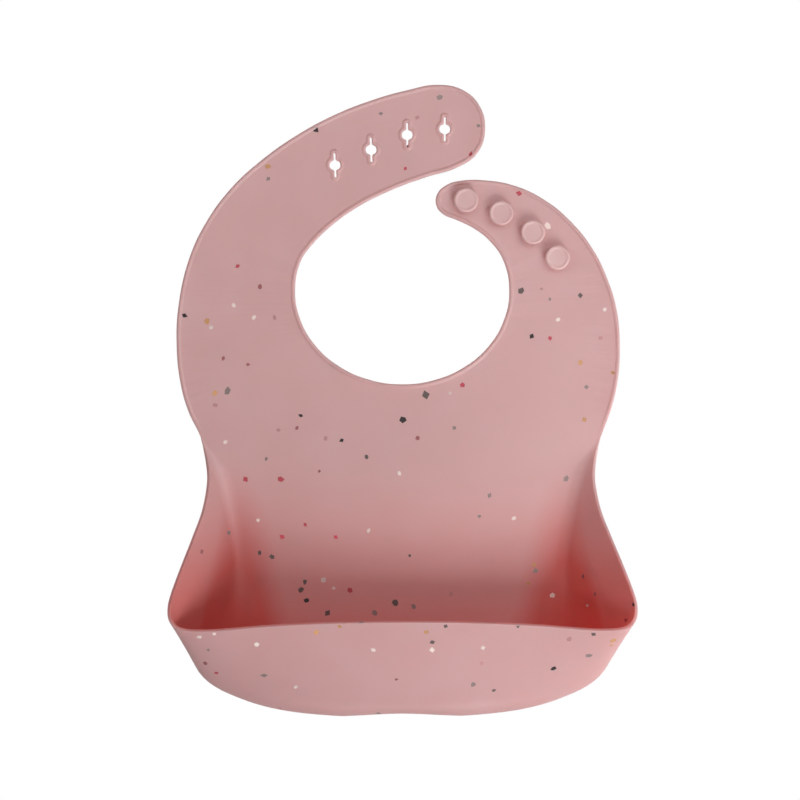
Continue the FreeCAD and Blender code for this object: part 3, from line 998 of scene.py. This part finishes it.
# (x, z, width) of the flakes on the front, in millimetres
FRONT_FLAKES = {
    "coal": [(-42, 76, 3), (-106, -15, 2.5), (-29, -76, 2), (1, -66, 3), (64, -25, 2.5),
             (-46, -154, 2.5), (109, -153, 2), (-49, -64, 2)],
    "slate": [(12, -54, 3.5), (-17, -84, 2), (-69, -131, 2), (-63, -133, 2.5), (-49, -149, 2.5),
              (-3, -155, 3), (-36, -160, 2.5), (-47, -145, 2), (4, -132, 1.5), (88, -5, 2.5),
              (59, -3, 3), (14, -171, 2.5), (20, -163, 2), (54, -163, 2), (90, -167, 2.5),
              (44, -196, 2)],
    "ash": [(-85, -52, 3), (19, 92, 2.5), (38, 78, 2), (-65, 52, 2), (-66, -85, 1.5), (26, -70, 2),
            (91, -50, 2), (81, -95, 2.5), (-84, -121, 2.5), (66, -140, 2.5), (6, -157, 2.5),
            (-20, -161, 2.5), (-13, -160, 2.5), (-66, -188, 3), (34, -193, 2.5), (73, -7, 1.5),
            (43, -103, 2), (-10, 84, 2), (38, -113, 1.5)],
    "cherry": [(58, 45, 2.5), (-80, 9, 2), (-76, -95, 2.5), (-59, -95, 3), (30, -49, 2.5),
               (-47, -117, 2), (-58, -123, 2.5), (-25, -149, 2.5), (-89, -187, 2), (2, 57, 2),
               (34, 64, 2.5), (-32, -123, 2), (106, -161, 2), (73, -26, 2)],
    "plum": [(88, -142, 2), (93, -150, 2), (-94, -182, 2.5), (-3, -190, 1.5), (-96, -129, 2),
             (-75, -39, 2), (8, -75, 2), (-51, -70, 1.5), (-69, -1, 2), (-87, -36, 2),
             (-40, -91, 1.5)],
    "blush": [(8, 82, 2), (69, -2, 1.5), (-91, -59, 2), (-60, -71, 2), (24, -151, 2),
              (-37, -75, 2), (38, -182, 2), (98, -26, 2), (-62, -16, 2)],
    "amber": [(-91, -53, 2.5), (-95, -18, 3), (11, -166, 2), (88, -38, 2), (104, -43, 2),
              (90, -66, 2.5), (65, -137, 2), (62, -146, 2), (-41, -166, 2.5), (-30, -163, 2),
              (-65, 58, 2.5)],
    "cream": [(72, 29, 3), (-82, -10, 2), (-72, -16, 2), (-86, -77, 2), (100, -12, 2),
              (77, -17, 2), (-70, -115, 2), (-16, -120, 2), (14, -175, 2.5), (38, -174, 2.5),
              (74, -152, 2.5), (-96, -168, 2.5), (-51, -194, 2), (24, -53, 1.5), (-1, -92, 2),
              (55, -114, 2), (90, -156, 2), (-69, -172, 2.5), (-14, -175, 2.5),
              (-38, -144, 2.5), (-33, -148, 2), (-93, -21, 2)],
}
# (how many, where the rays start from: a corner and a spread in millimetres, ray direction)
CHANCE_FLAKES = [
    (150, (-108, 60, -208), (216, 0, 304), (0, -1, 0)),
    (26, (-160, -44, -200), (0, 42, 110), (1, 0, 0)),
    (26, (160, -44, -200), (0, 42, 110), (-1, 0, 0)),
    (40, (-100, -44, -260), (200, 42, 0), (0, 0, 1)),
    (30, (-90, -16, -156), (180, 0, 6), (0, -1, -0.35)),
]
COMMON_FLAKES = ("ash", "ash", "slate", "cherry", "plum", "blush", "amber", "cream", "cream",
                 "coal")
print(sum(len(places) for places in FRONT_FLAKES.values()), "flakes placed on the front")

# %% [markdown]
# ## One tree of all skins
# A ray that is cast on one mesh alone could pass through a strap and land on the wrong
# piece. So all the outer faces go into one search tree, which also remembers the skin
# that each face came from.

# %% Skins to drop flakes on
skins = {piece.name: piece for piece in [chest, pocket] + list(straps.values())}


def all_skins():
    """A search tree of every outer face, in millimetres, and the skin that owns each."""
    places, polygons, owners = [], [], []
    for name, piece in skins.items():
        first = len(places)
        places += [vert.co / MM for vert in piece.data.vertices]
        for polygon in piece.data.polygons:
            if polygon.material_index == 0:
                polygons.append([first + index for index in polygon.vertices])
                owners.append(name)
    return BVHTree.FromPolygons(places, polygons), owners


skin_tree, skin_owners = all_skins()
print("search tree of", len(skin_owners), "faces")

# %% [markdown]
# ## Dropping the flakes
# A flake is a small circle of four to six corners, each pulled in or out by chance. It is
# turned to face out of the skin, its corners are put on the nearest points of the skin,
# and each loop of its faces takes the flake's colour, a little lighter or darker.

# %% Flakes
FLAKE_RISE = 0.04
FLAKE_COLOUR = "flake_colour"
FLAKE_CORNERS = (4, 4, 5, 6)
FLAKE_RADIUS = 0.68
CORNER_REACH = (0.72, 1.15)
FLAKE_SQUEEZE = 0.8
FLAKE_SHADE = (0.85, 1.15)
FULL_TURN = 6.28
# How square to its ray a skin must be, for a placed flake and for a chance one.
PLACED_SQUARE = 0.2
CHANCE_SQUARE = 0.6
CHANCE_WIDTH = (1.5, 3.0)
IN_FRONT = -200.0
chance = random.Random(28)
flake_meshes = {}


def flake_mesh(name):
    """The bmesh that holds the flakes of one skin."""
    if name not in flake_meshes:
        flake_meshes[name] = bmesh.new()
        flake_meshes[name].loops.layers.float_color.new(FLAKE_COLOUR)
    return flake_meshes[name]


def flake(start, direction, width, colour, square):
    """One flake where a ray meets a skin that is square enough to it, or False."""
    ray = Vector(direction).normalized()
    spot, normal, index = skin_tree.ray_cast(Vector(start), ray)[:3]
    if spot is None or abs(normal.dot(ray)) < square:
        return False
    if normal.dot(ray) > 0:
        normal = -normal
    bm = flake_mesh(skin_owners[index])
    corners = bmesh.ops.create_circle(bm, cap_ends=True, segments=chance.choice(FLAKE_CORNERS),
                                      radius=width * FLAKE_RADIUS)["verts"]
    for corner in corners:
        corner.co *= chance.uniform(*CORNER_REACH)
        corner.co.x *= FLAKE_SQUEEZE
    face = corners[0].link_faces[0]
    spin = Matrix.Rotation(chance.uniform(0, FULL_TURN), 3, "Z")
    turned = normal.to_track_quat("Z", "Y").to_matrix() @ spin
    bmesh.ops.transform(bm, matrix=Matrix.Translation(spot) @ turned.to_4x4(), verts=corners)
    corners += bmesh.ops.poke(bm, faces=[face])["verts"]
    for corner in corners:
        near, up = skin_tree.find_nearest(corner.co)[:2]
        up = up if up.dot(normal) > 0 else -up
        corner.co = near + up * FLAKE_RISE
    paint = bm.loops.layers.float_color[FLAKE_COLOUR]
    shade = chance.uniform(*FLAKE_SHADE)
    for part in corners[-1].link_faces:
        part.normal_update()
        if part.normal.dot(normal) < 0:
            part.normal_flip()
        for loop in part.loops:
            loop[paint] = (*[min(1.0, value * shade) for value in FLAKE_PAINT[colour]], 1)
    return True


placed = 0
for colour, places in FRONT_FLAKES.items():
    for x, z, width in places:
        placed += flake((x, IN_FRONT, z), (0, 1, 0), width, colour, PLACED_SQUARE)
landed = 0
for count, corner, spread, direction in CHANCE_FLAKES:
    for number in range(count):
        start = [place + chance.random() * reach for place, reach in zip(corner, spread)]
        width, colour = chance.uniform(*CHANCE_WIDTH), chance.choice(COMMON_FLAKES)
        landed += flake(start, direction, width, colour, CHANCE_SQUARE)
print(placed, "flakes by their places and", landed, "more by chance")

# %% [markdown]
# ## Flake finish
# All flakes share one material, which reads each one's colour from its loops. Solidify
# gives them a little depth into the sheet, so that a flake at a rim has an edge.

# %% Flake finish
FLAKE_DEPTH = 0.16
FLAKE_SATIN_SCALE = 700
FLAKE_SATIN = (0.42, 0.62)


def flake_finish():
    """Matt coloured silicone that takes each flake's own colour."""
    material, tree = new_material("flake silicone")
    colour = tree.nodes.new("ShaderNodeAttribute")
    colour.attribute_name = FLAKE_COLOUR
    skin = tree.nodes["Principled BSDF"]
    skin.inputs["IOR"].default_value = SILICONE_IOR
    tree.links.new(colour.outputs["Color"], skin.inputs["Base Color"])
    place = tree.nodes.new("ShaderNodeTexCoord").outputs["Object"]
    satin = noise(tree, place, FLAKE_SATIN_SCALE, 2, *FLAKE_SATIN)
    tree.links.new(satin, skin.inputs["Roughness"])
    return material


flake_silicone = flake_finish()
flakes = {}
for name, bm in flake_meshes.items():
    bmesh.ops.solidify(bm, geom=bm.faces[:], thickness=FLAKE_DEPTH)
    bmesh.ops.recalc_face_normals(bm, faces=bm.faces)
    flakes[name] = finished(bm, name.replace("_skin", "_flakes"), flake_silicone)
    print(flakes[name].name, len(flakes[name].data.polygons), "faces")

# %% [markdown]
# ## Riding with the frame
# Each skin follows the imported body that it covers, and its flakes go with it. Where it
# crosses a bend it is blended between two bodies: a point before the start follows the
# first, a point after the end follows the second, and the points between turn part of
# the way.

# %% Ride and blend
# The depths between which the pocket flexes.
FLEX_START = -8.0
FLEX_END = -42.0


def in_metres(place, along=(0, 0), distance=0.0):
    """A point in the frame, in metres, from a place and a distance in millimetres."""
    return ((place[0] + along[0] * distance) * MM, 0, (place[1] + along[1] * distance) * MM)


def bends(skin, first, second, start, end):
    """Blends a skin and its flakes between two bodies."""
    for piece in (skin, flakes[skin.name]):
        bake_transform(piece, first, second, start=start, end=end)


for piece in (chest, flakes[chest.name]):
    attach(piece, "panel")
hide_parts("chest_panel")
for side in ("left", "right"):
    bends(straps[side + "_arm"], "panel", side + "_arm",
          in_metres((0, SHOULDER_START)), in_metres((0, SHOULDER_END)))
    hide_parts(side + "_strap_arm")
bends(straps["left_end"], "left_arm", "left_end",
      in_metres(LEFT_CURL, LEFT_ALONG, -LEFT_REACH), in_metres(LEFT_CURL, LEFT_ALONG, LEFT_REACH))
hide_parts("buttonhole_strap_end")
bends(straps["right_end"], "right_arm", "right_end",
      in_metres(RIGHT_CURL, RIGHT_ALONG, -RIGHT_REACH),
      in_metres(RIGHT_CURL, RIGHT_ALONG, RIGHT_REACH))
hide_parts("button_strap_end")
bends(pocket, "panel", "front", (0, FLEX_START * MM, 0), (0, FLEX_END * MM, 0))
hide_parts("pocket_back", "pocket_base", "pocket_front", "right_pocket_side",
            "left_pocket_side")
for number, piece in enumerate(buttons, 1):
    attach(piece, "right_end" if number <= BUTTONS_ON_END else "right_arm")
    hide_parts(f"button_{number}")
print(len(skins), "skins with flakes and", len(buttons), "buttons follow the frame")
